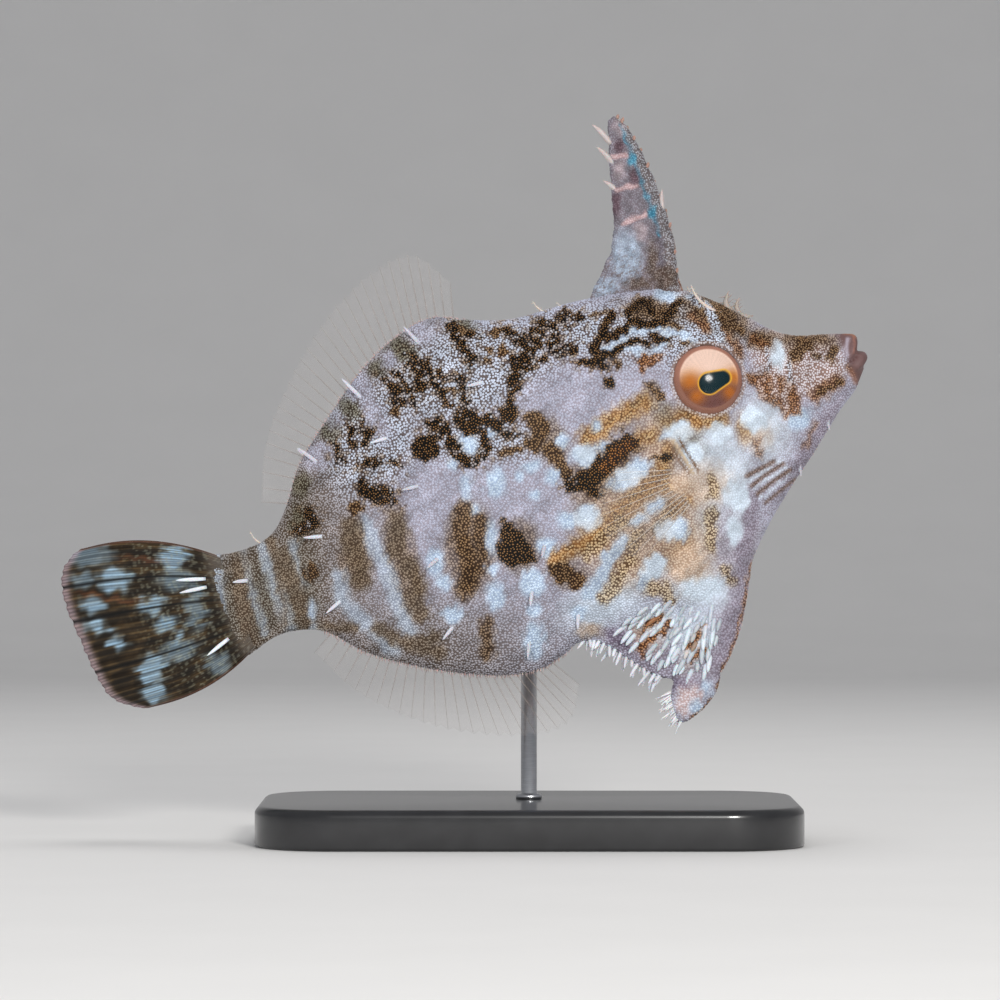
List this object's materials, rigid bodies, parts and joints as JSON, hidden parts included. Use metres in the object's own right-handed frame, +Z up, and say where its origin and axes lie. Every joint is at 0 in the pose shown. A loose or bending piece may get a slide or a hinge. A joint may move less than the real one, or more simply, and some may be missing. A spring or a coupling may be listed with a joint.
{
  "type": "aiptasia-eating filefish model",
  "caption": "Life-size still model of a small mottled filefish swimming head up, with a raised dorsal spine and spread tail, on a plain display stand.",
  "frame": {"origin": "centre of the model's box at the underside of the stand's base", "axes": "+X toward the head, +Y toward the fish's left side, +Z up"},
  "size_m": [0.0808, 0.034, 0.0726],
  "materials": {
    "skin": "finely granular, mottled",
    "pale_skin": "finely granular, pale",
    "lip_skin": "smooth, moist",
    "fin_skin": "thin, ribbed by the rays",
    "eye": "gloss",
    "base_paint": "satin black lacquer",
    "rod_steel": "fine brushed"
  },
  "bodies": {
    "root": {"head": "skin", "trunk": "skin", "flap": "skin", "stalk": "skin", "pelvis_tip": "pale_skin", "upper_lip": "lip_skin", "lower_lip": "lip_skin", "eye_right": "eye", "eye_left": "eye", "dorsal_spine": "fin_skin", "spine_web": "fin_skin", "dorsal_fin": "fin_skin", "anal_fin": "fin_skin", "tail_fin": "fin_skin", "pectoral_fin_right": "fin_skin", "pectoral_fin_left": "fin_skin", "stand_base": "base_paint", "stand_rod": "rod_steel"}
  },
  "joints": []
}
